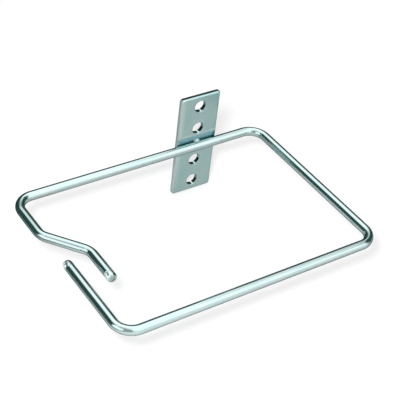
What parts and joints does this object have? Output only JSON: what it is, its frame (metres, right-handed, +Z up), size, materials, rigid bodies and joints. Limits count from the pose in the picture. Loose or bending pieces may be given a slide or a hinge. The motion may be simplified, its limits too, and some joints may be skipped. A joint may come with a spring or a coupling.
{
  "type": "cable management ring",
  "caption": "Open rectangular ring of bent round wire with a jogged entry gate, welded to an upright flat strip with screw holes; gathers cables at the side of a rack.",
  "frame": {"origin": "middle of the mounting plate's back face, which lies against the rack or wall", "axes": "+X to the right along the ring's rear side, +Y back into the rack, out of the plate's back face, +Z up"},
  "size_m": [0.1251, 0.0922, 0.051],
  "materials": {
    "zinc_wire": "bright drawn wire, zinc plated with a blue-green passivation, glossy",
    "zinc_strip": "cold-rolled strip, zinc plated with a blue-green passivation, satin gloss",
    "zinc_weld": "resistance weld, zinc plated over, slightly rough"
  },
  "bodies": {
    "root": {"wire_ring": "zinc_wire", "mounting_plate": "zinc_strip", "weld_bead": "zinc_weld"}
  },
  "joints": []
}
